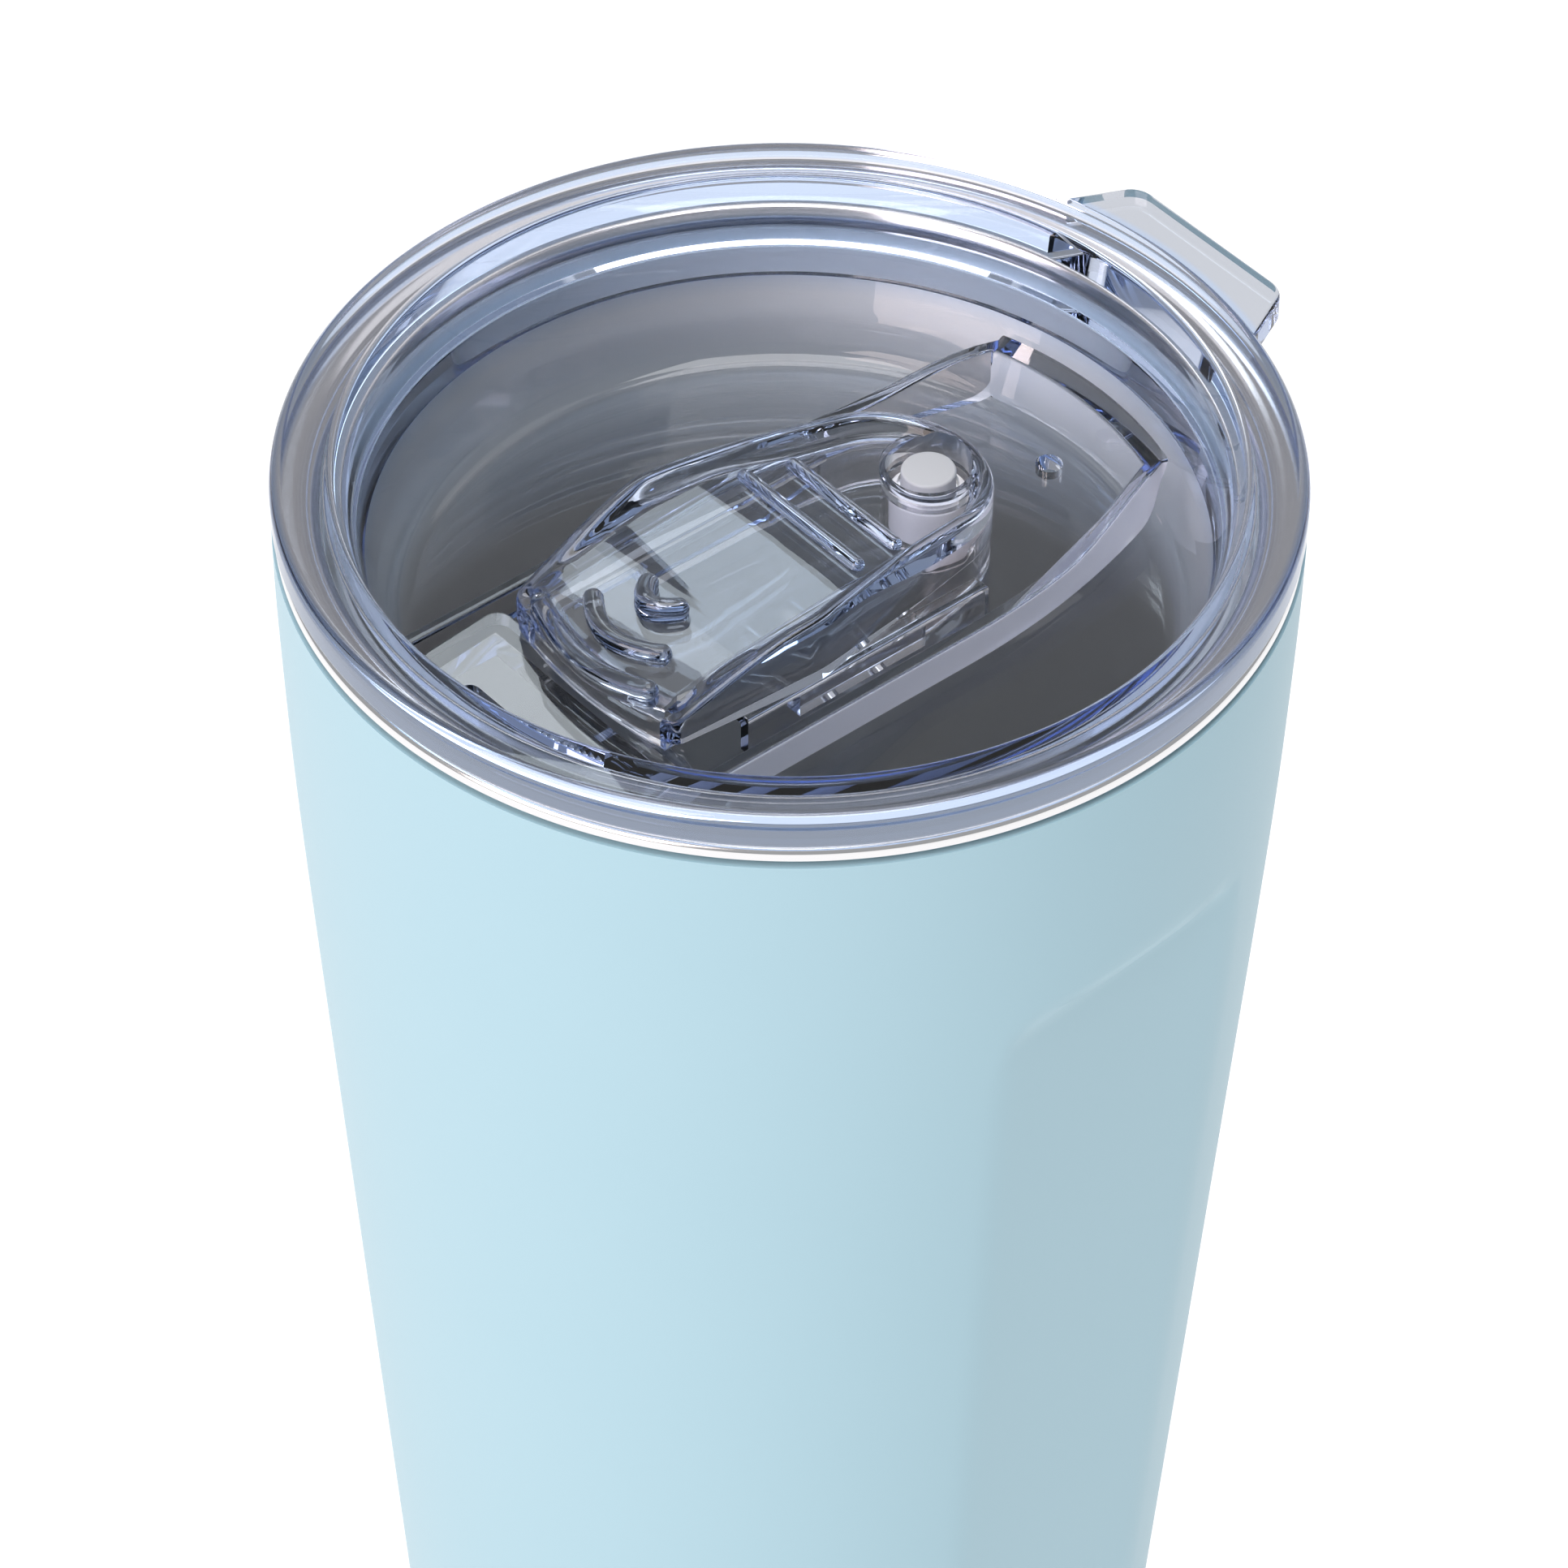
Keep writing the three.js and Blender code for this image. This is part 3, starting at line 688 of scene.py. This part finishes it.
for side in (-1, 1):
    wall = fence_line(side, -FENCE_WALL / 2) + fence_line(side, FENCE_WALL / 2)[::-1]
    fence = prism(wall, down(FLOOR_DEPTH + 0.6 * MM), down(FENCE_DEPTH), 0.3 * MM)
    for vert in fence.verts:
        if vert.co.z > down(FENCE_DEPTH + 1 * MM):
            vert.co.z += (FENCE_DEPTH - TIP_DEPTH) * ease((vert.co.y - 19 * MM) / (14 * MM))
    combine(lid, inside_bowl(fence, 36.4 * MM, down(20 * MM), down(10 * MM)), "UNION")
    web = (side * (RAIL_X - RAIL_WALL / 2), side * (RAIL_X + RAIL_WALL / 2))
    lip = (side * (RAIL_X - RAIL_WALL / 2 - RAIL_LIP), web[1])
    rail = prism([(web[0], RAIL_FROM), (web[1], RAIL_FROM), (web[1], RAIL_TO), (web[0], RAIL_TO)],
                 down(FLOOR_DEPTH + 0.6 * MM), down(RAIL_DEPTH + 0.5 * MM))
    combine(lid, rail, "UNION")
    rail_lip = prism([(lip[0], RAIL_FROM), (lip[1], RAIL_FROM), (lip[1], RAIL_TO), (lip[0], RAIL_TO)],
                     down(RAIL_DEPTH + 1.0 * MM), down(RAIL_DEPTH), 0.25 * MM)
    combine(lid, rail_lip, "UNION")

tip_turn = math.asin(TIP_X / FENCE_END)
arc_steps = [tip_turn * (step / 12 - 1) for step in range(25)]
back_wall = [(FENCE_END * math.sin(turn), FENCE_END * math.cos(turn)) for turn in arc_steps]
back_wall += [(37.4 * MM * math.sin(turn), 37.4 * MM * math.cos(turn)) for turn in reversed(arc_steps)]
ledge = prism(back_wall, down(FLOOR_DEPTH + 0.6 * MM), down(TIP_DEPTH), 0.25 * MM)
for vert in ledge.verts:
    if vert.co.z < down(FLOOR_DEPTH) and math.hypot(vert.co.x, vert.co.y) > 37 * MM:
        vert.co.xy = vert.co.xy.normalized() * 35.6 * MM
combine(lid, ledge, "UNION")

seat_outline = rounded([
    (-SEAT_HALF, -36 * MM), (SEAT_HALF, -36 * MM),
    (SEAT_HALF, SEAT_FROM, 1.8 * MM), (-SEAT_HALF, SEAT_FROM, 1.8 * MM)], 8)
seat = prism(seat_outline, down(FLOOR_DEPTH + FLOOR_WALL), down(SEAT_DEPTH), 0.25 * MM)
for vert in seat.verts:
    if vert.co.z > down(SEAT_DEPTH + 1 * MM):
        vert.co.z -= (SEAT_FROM - vert.co.y) * math.tan(SEAT_SLOPE)
combine(lid, inside_bowl(seat, 36.0 * MM, down(20 * MM), down(10 * MM)), "UNION")
hollow_outline = [(-SEAT_HALF + 1.6 * MM, -36 * MM), (SEAT_HALF - 1.6 * MM, -36 * MM),
                  (SEAT_HALF - 1.6 * MM, SEAT_FROM - 1.6 * MM), (-SEAT_HALF + 1.6 * MM, SEAT_FROM - 1.6 * MM)]
under = prism(hollow_outline, down(22 * MM), down(SEAT_DEPTH + 1.9 * MM))
for vert in under.verts:
    if vert.co.z > down(17 * MM):
        vert.co.z -= (SEAT_FROM - vert.co.y) * math.tan(SEAT_SLOPE)
combine(lid, inside_bowl(under, 34.0 * MM, down(23 * MM), down(10 * MM)), "DIFFERENCE")

arc_half = math.asin(MOUTH_HALF / MOUTH_CURVE)
mouth_arc = [(MOUTH_CURVE * math.sin(angle), -MOUTH_CURVE * math.cos(angle))
             for angle in [arc_half * (step / 8 - 1) for step in range(17)]]
mouth_arc[0] = (*mouth_arc[0], 1.2 * MM)
mouth_arc[-1] = (*mouth_arc[-1], 1.2 * MM)
mouth_outline = rounded([
    (MOUTH_HALF, MOUTH_FROM, 1.2 * MM), (-MOUTH_HALF, MOUTH_FROM, 1.2 * MM), *mouth_arc], 6)
combine(lid, prism(mouth_outline, down(22 * MM), down(12 * MM)), "DIFFERENCE")
vent = bmesh.new()
bmesh.ops.create_cone(vent, cap_ends=True, segments=40, radius1=VENT_RADIUS, radius2=VENT_RADIUS,
                      depth=6 * MM, matrix=Matrix.Translation((0, VENT_Y, down(FLOOR_DEPTH))))
combine(lid, vent, "DIFFERENCE")
# Painted reflection: the outer face of the fence on the +X side gets a pale lavender, part-frosted finish
# that stands in for light caught on that face. The lid itself is clear all over.
sheen = Finish("caught_light", (0.84, 0.88, 1.0), 0.22)
sheen.wear(Transmission_Weight=0.25, IOR=1.54)
lid.data.materials.append(sheen.material)
for face in lid.data.polygons:
    x, y, z = face.center
    lean = max(0, y - FENCE_BEND_FROM) ** 2 / (2 * FENCE_BEND_RADIUS)
    on_fence = abs(x - (TRACK_HALF + FENCE_WALL / 2 - lean)) < 0.15 * MM
    if on_fence and face.normal.x > 0.9 and z > down(FLOOR_DEPTH + 0.05 * MM):
        face.material_index = 1
crisp(lid, 40)
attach(lid, "lid")
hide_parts("lid_shell")

# --- Lid gasket ---
# A ribbed ring of clear silicone, stretched into the groove round the bowl.
# Its two soft ribs seal against the liner and hold the lid in by their grip.
gasket_low, gasket_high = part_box("lid_gasket")
GASKET_OUT = gasket_high[0]
GASKET_IN = GROOVE_RADIUS + 0.15 * MM
gasket_mesh = turned(rounded([
    (GASKET_IN, gasket_low[2]), (GASKET_OUT - 0.8 * MM, gasket_low[2], 0.3 * MM),
    (GASKET_OUT, gasket_low[2] + 0.8 * MM, 0.3 * MM),
    (GASKET_OUT - 0.7 * MM, (gasket_low[2] + gasket_high[2]) / 2, 0.2 * MM),
    (GASKET_OUT, gasket_high[2] - 0.8 * MM, 0.3 * MM), (GASKET_OUT - 0.8 * MM, gasket_high[2], 0.3 * MM),
    (GASKET_IN, gasket_high[2])], 4), LID_STEPS)


def milky(name, colour, clearness, roughness, top=None, top_painted_shade=None):
    """Translucent silicone: part of the light goes through it, softened. Above a height it can take a second
    colour, used as a painted shade.
    """
    silicone = Finish(name, colour, roughness)
    haze = silicone.noise(1400, 2.0)
    silicone.wear(
        Transmission_Weight=clearness,
        IOR=1.41,
        Subsurface_Weight=0.35,
        Subsurface_Radius=(0.004, 0.004, 0.004),
        Roughness=roughness + haze * 0.08,
    )
    if top:
        height = silicone.node("ShaderNodeSeparateXYZ", {"Vector": silicone.place()}, output="Z")
        share = silicone.node("ShaderNodeMapRange", {
            "Value": height, "From Min": top, "From Max": top + 0.4 * MM})
        silicone.wear(Base_Color=silicone.mix(share, colour, top_painted_shade))
    return silicone.material


clear_silicone = milky("clear_silicone", (0.86, 0.89, 0.90), 0.55, 0.3)
gasket = finished("silicone_gasket", gasket_mesh, clear_silicone)
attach(gasket, "lid")
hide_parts("lid_gasket")

# --- Slider ---
# The closure, one clear moulding like a small open tray. A thumb pushes its ridges to slide it over the slot.
# Two feet under it snap beneath the rails' lips, and its back end holds the silicone plug in a pocket.
slider_low, slider_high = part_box("slider")
FRONT_HALF = 11.2 * MM
FRONT_Y = -22.3 * MM
FRONT_BULGE = 1.5 * MM
SHOULDER_Y = -7 * MM
SHOULDER_HALF = 12.7 * MM
END_Y = 11.4 * MM
END_RADIUS = 9.5 * MM
RIM_WIDTH = 1.25 * MM
SKIN = 1.5 * MM
LOW_HALF = 10.2 * MM
STEP_DEPTH = 12.9 * MM
FOOT_DEPTH = 17.0 * MM
FRONT_FOOT_DEPTH = 13.9 * MM
DEEP_FROM = -9.5 * MM
PLUG_Y = 16.3 * MM
POCKET_RADIUS = 3.9 * MM
STUD_HOLE = 2.8 * MM
POCKET_FLOOR = 11.5 * MM


def curve_through(points, at):
    """A smooth height at a place, through a few (place, height) points in rising order."""
    if at <= points[0][0]:
        return points[0][1]
    if at >= points[-1][0]:
        return points[-1][1]
    index = max(step for step in range(len(points) - 1) if points[step][0] <= at)
    before, start = points[max(index - 1, 0)], points[index]
    end, after = points[index + 1], points[min(index + 2, len(points) - 1)]
    width = end[0] - start[0]
    share = (at - start[0]) / width
    slope_in = (end[1] - before[1]) / (end[0] - before[0]) * width
    slope_out = (after[1] - start[1]) / (after[0] - start[0]) * width
    square, cube = share * share, share ** 3
    return ((2 * cube - 3 * square + 1) * start[1] + (cube - 2 * square + share) * slope_in
            + (3 * square - 2 * cube) * end[1] + (cube - square) * slope_out)


def tray_height(y):
    """The slider's upper face inside its rim."""
    return down(curve_through([
        (-26 * MM, 11.0 * MM), (-21 * MM, 9.5 * MM), (-15 * MM, 8.45 * MM), (-10 * MM, 8.15 * MM),
        (-3 * MM, 7.6 * MM), (0, 7.55 * MM), (6 * MM, 8.6 * MM), (12 * MM, 9.5 * MM),
        (20 * MM, 9.9 * MM)], y))


def rim_height(y):
    """The top of the slider's rim."""
    return down(curve_through([(-24.5 * MM, 11.1 * MM), (-7 * MM, 5.95 * MM), (21 * MM, 8.7 * MM)], y))


FRONT_ARC = (FRONT_HALF ** 2 + FRONT_BULGE ** 2) / (2 * FRONT_BULGE)
FRONT_ARC_Y = FRONT_Y - FRONT_BULGE + FRONT_ARC
FRONT_FILLET = 1.7 * MM
SHOULDER_FILLET = 9 * MM


def crossing(normal_a, reach_a, normal_b, reach_b):
    """The point where two lines meet, each given by its normal and its distance from the origin."""
    span = normal_a.x * normal_b.y - normal_a.y * normal_b.x
    return ((reach_a * normal_b.y - reach_b * normal_a.y) / span,
            (normal_a.x * reach_b - normal_b.x * reach_a) / span)


def half_outline(inset):
    """The right half of the slider's plan, moved inwards, from the front middle to the back middle."""
    along = Vector((SHOULDER_HALF - FRONT_HALF, SHOULDER_Y - FRONT_Y)).normalized()
    side = Vector((along.y, -along.x))
    side_reach = side.dot(Vector((FRONT_HALF, FRONT_Y))) - inset
    to_shoulder = Vector((SHOULDER_HALF, SHOULDER_Y - END_Y))
    turn = math.atan2(to_shoulder.y, to_shoulder.x) + math.acos(END_RADIUS / to_shoulder.length)
    flank = Vector((math.cos(turn), math.sin(turn)))
    flank_reach = flank.dot(Vector((0, END_Y))) + END_RADIUS - inset
    shoulder = crossing(side, side_reach, flank, flank_reach)
    arc = FRONT_ARC - inset
    drop = side_reach - side.y * FRONT_ARC_Y
    corner_turn = math.acos(drop / arc) - math.atan2(side.y, side.x)
    corner = (arc * math.cos(corner_turn), FRONT_ARC_Y - arc * math.sin(corner_turn))
    sweep = math.pi / 2 - corner_turn - 2.2 * MM / arc
    front = [(arc * math.sin(sweep * step / 24), FRONT_ARC_Y - arc * math.cos(sweep * step / 24))
             for step in range(25)]
    back = [((END_RADIUS - inset) * math.cos(angle), END_Y + (END_RADIUS - inset) * math.sin(angle))
            for angle in [turn + (math.pi / 2 - turn) * step / 36 for step in range(37)]]
    bends = rounded([front[-1], (*corner, max(FRONT_FILLET - inset, 0.3 * MM)),
                     (*shoulder, SHOULDER_FILLET - inset), back[0]], 8)
    flat_side = [tuple(Vector(bends[9]).lerp(Vector(bends[10]), step / 16)) for step in range(1, 16)]
    flat_flank = [tuple(Vector(bends[18]).lerp(Vector(back[0]), step / 20)) for step in range(1, 20)]
    return front + bends[1:10] + flat_side + bends[10:19] + flat_flank + back


def slider_ring(inset):
    """The slider's whole plan, moved inwards."""
    half = half_outline(inset)
    return half + [(-x, y) for x, y in half[-2:0:-1]]


rings = {}


def slider_spot(index, inset, widest):
    """A point of the slider's plan, moved inwards and no further out than a limit."""
    if inset not in rings:
        rings[inset] = slider_ring(inset)
    x, y = rings[inset][index]
    return Vector((min(max(x, -widest), widest), y))


AROUND_SLIDER = len(slider_ring(0))


def section(index):
    """One cross-section of the slider: over the tray, the rim and the skirt, and back underneath."""
    y_edge = slider_spot(index, 0, 1.0).y
    spine = Vector((0, min(max(y_edge, -18 * MM), END_Y)))
    rim = rim_height(y_edge)
    foot = down(FRONT_FOOT_DEPTH + (FOOT_DEPTH - FRONT_FOOT_DEPTH) * ease((y_edge - DEEP_FROM) / (0.8 * MM)))
    points = []

    def add(spot, height):
        points.append((spot.x, spot.y, height))

    def inner(inset, share, widest=1.0):
        return slider_spot(index, inset, widest).lerp(spine, share)

    for share in (1.0, 0.8, 0.6, 0.42, 0.28, 0.16, 0.07):
        spot = inner(3.2 * MM, share)
        add(spot, tray_height(spot.y))
    for inset in (3.2, 2.6, 2.2, 1.9, 1.65, 1.45, 1.25, 1.1):
        spot = slider_spot(index, inset * MM, 1.0)
        lift = ease((2.2 - inset) / 1.1)
        tray = tray_height(spot.y)
        add(spot, tray + (rim - tray) * lift * 0.96)
    for inset, fall in ((0.9, 0.0), (0.6, 0.0), (0.38, 0.03), (0.2, 0.12), (0.07, 0.26), (0.0, 0.45)):
        add(slider_spot(index, inset * MM, 1.0), rim - fall * MM)
    lower = down(STEP_DEPTH)
    for share in (0.35, 0.7, 0.95, 1.0):
        add(slider_spot(index, 0, 1.0), (rim - 0.45 * MM) * (1 - share) + lower * share)
    add(slider_spot(index, 0.1 * MM, LOW_HALF), lower)
    for share in (0.1, 0.5, 0.95):
        add(slider_spot(index, 0.1 * MM, LOW_HALF), lower + (foot - lower) * share)
    add(slider_spot(index, 0.3 * MM, LOW_HALF - 0.2 * MM), foot)
    add(slider_spot(index, SKIN - 0.2 * MM, LOW_HALF - SKIN + 0.2 * MM), foot)
    inner_spot = slider_spot(index, SKIN, LOW_HALF - SKIN)
    ceiling = tray_height(inner_spot.y) - SKIN
    for share in (0.05, 0.5, 0.9):
        add(inner_spot, foot + (ceiling - foot) * share)
    for share in (0.03, 0.1, 0.25, 0.5, 0.75, 1.0):
        spot = inner_spot.lerp(spine, share)
        add(spot, tray_height(spot.y) - SKIN)
    return points


sections = [section(index) for index in range(AROUND_SLIDER)]
RINGS = len(sections[0])
slider_mesh = bmesh.new()
bmesh.ops.create_grid(slider_mesh, x_segments=AROUND_SLIDER, y_segments=RINGS - 1, size=1)
for vert in slider_mesh.verts:
    around = round((vert.co.x + 1) / 2 * AROUND_SLIDER) % AROUND_SLIDER
    ring = round((vert.co.y + 1) / 2 * (RINGS - 1))
    vert.co = sections[around][ring]
bmesh.ops.remove_doubles(slider_mesh, verts=slider_mesh.verts, dist=2e-6)
bmesh.ops.recalc_face_normals(slider_mesh, faces=slider_mesh.faces)
slider = finished("clear_slider", slider_mesh, plastic.material)


def pipe(points, radius, sides=14):
    """A round ridge along a flat curve, with domed ends."""
    mesh = bmesh.new()
    loops = []
    count = len(points)
    dome = 5
    stations = []
    start_tangent = (points[1] - points[0]).normalized()
    end_tangent = (points[-1] - points[-2]).normalized()
    for step in range(dome):
        turn = math.pi / 2 * (1 - step / dome)
        tip = points[0] - start_tangent * radius * math.sin(turn)
        stations.append((tip, start_tangent, radius * math.cos(turn)))
    for index, point in enumerate(points):
        tangent = (points[min(index + 1, count - 1)] - points[max(index - 1, 0)]).normalized()
        stations.append((point, tangent, radius))
    for step in range(1, dome + 1):
        turn = math.pi / 2 * step / dome
        tip = points[-1] + end_tangent * radius * math.sin(turn)
        stations.append((tip, end_tangent, radius * math.cos(turn)))
    for point, tangent, size in stations:
        side = tangent.cross(Vector((0, 0, 1))).normalized()
        rise = side.cross(tangent)
        frame_here = Matrix((side, rise, -tangent)).transposed().to_4x4()
        ring = bmesh.ops.create_circle(mesh, segments=sides, radius=max(size, 1e-6),
                                       matrix=Matrix.Translation(point) @ frame_here)["verts"]
        loops.append(ring)
    for first, second in zip(loops, loops[1:]):
        for index in range(sides):
            after = (index + 1) % sides
            mesh.faces.new((first[index], first[after], second[after], second[index]))
    bmesh.ops.remove_doubles(mesh, verts=mesh.verts, dist=3e-6)
    bmesh.ops.holes_fill(mesh, edges=[edge for edge in mesh.edges if edge.is_boundary])
    bmesh.ops.recalc_face_normals(mesh, faces=mesh.faces)
    return mesh


BOSS_RADIUS = 4.45 * MM
boss = bmesh.new()
bmesh.ops.create_cone(boss, cap_ends=True, segments=96, radius1=BOSS_RADIUS, radius2=BOSS_RADIUS,
                      depth=FOOT_DEPTH - 9.3 * MM,
                      matrix=Matrix.Translation((0, PLUG_Y, down((FOOT_DEPTH + 9.3 * MM) / 2))))
combine(slider, boss, "UNION")


def bore(radius, low, high):
    """A cylinder on the plug's axis between two depths."""
    mesh = bmesh.new()
    bmesh.ops.create_cone(mesh, cap_ends=True, segments=96, radius1=radius, radius2=radius, depth=low - high,
                          matrix=Matrix.Translation((0, PLUG_Y, down((low + high) / 2))))
    return mesh


combine(slider, bore(POCKET_RADIUS, POCKET_FLOOR, 4 * MM), "DIFFERENCE")
combine(slider, bore(POCKET_RADIUS, 20 * MM, POCKET_FLOOR + 1.0 * MM), "DIFFERENCE")
combine(slider, bore(STUD_HOLE, 14 * MM, 10 * MM), "DIFFERENCE")

RIDGE_RADIUS = 0.95 * MM
for half, end_y, reach, end_top, middle_top in ((2.1, -14.3, 1.7, 6.65, 6.6), (4.7, -18.4, 1.9, 7.9, 8.0),
                                                (7.4, -22.1, 1.0, 8.1, 9.2)):
    path = []
    for step in range(21):
        turn = step / 10 - 1
        height = down((middle_top + (end_top - middle_top) * turn ** 2) * MM) - RIDGE_RADIUS
        path.append(Vector((half * turn * MM, (end_y - reach * (1 - turn ** 2)) * MM, height)))
    for sink in (0.9 * MM, 0):
        combine(slider, pipe([point - Vector((0, 0, sink)) for point in path], RIDGE_RADIUS), "UNION")
for y, half in ((1.3 * MM, 7.6 * MM), (6.3 * MM, 6.8 * MM)):
    path = [Vector((half * (step / 4 - 1), y, tray_height(y) + 0.15 * MM)) for step in range(9)]
    combine(slider, pipe(path, 0.75 * MM), "UNION")
for side in (-1, 1):
    inner, outer = side * (LOW_HALF - 0.8 * MM), side * (LOW_HALF + 0.9 * MM)
    foot = prism([(inner, DEEP_FROM + 1 * MM), (outer, DEEP_FROM + 1 * MM), (outer, 6 * MM), (inner, 6 * MM)],
                 down(FOOT_DEPTH), down(14.6 * MM), 0.2 * MM)
    combine(slider, foot, "UNION")
crisp(slider, 40)
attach(slider, "slider")
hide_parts("slider")

# --- Slider plug ---
# A milky silicone stopper. Its stud is pulled up through the hole in the pocket's floor, and its wide foot
# stays below, pressed on the lid so that the slider stays where it is put.
plug_low, plug_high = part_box("slider_plug")
STUD_RADIUS = 2.5 * MM
PLUG_RADIUS = 3.6 * MM
PLUG_SHOULDER = down(POCKET_FLOOR + 1.3 * MM)
plug_mesh = turned(rounded([
    (0, plug_low[2]), (PLUG_RADIUS, plug_low[2], 0.4 * MM), (PLUG_RADIUS, PLUG_SHOULDER, 0.3 * MM),
    (STUD_RADIUS, PLUG_SHOULDER, 0.2 * MM), (STUD_RADIUS, plug_high[2], 0.25 * MM), (0, plug_high[2])], 6),
    96, closed=False)
bmesh.ops.translate(plug_mesh, vec=(0, PLUG_Y, 0), verts=plug_mesh.verts)
# The milky white below the shoulder is the silicone's own colour. The stud above is painted grey, a painted
# shade that tones down the open light on it.
milky_silicone = milky("milky_silicone", (0.97, 0.975, 0.985), 0.05, 0.38, PLUG_SHOULDER, (0.49, 0.51, 0.545))
plug = finished("silicone_plug", plug_mesh, milky_silicone)
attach(plug, "slider")
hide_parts("slider_plug")
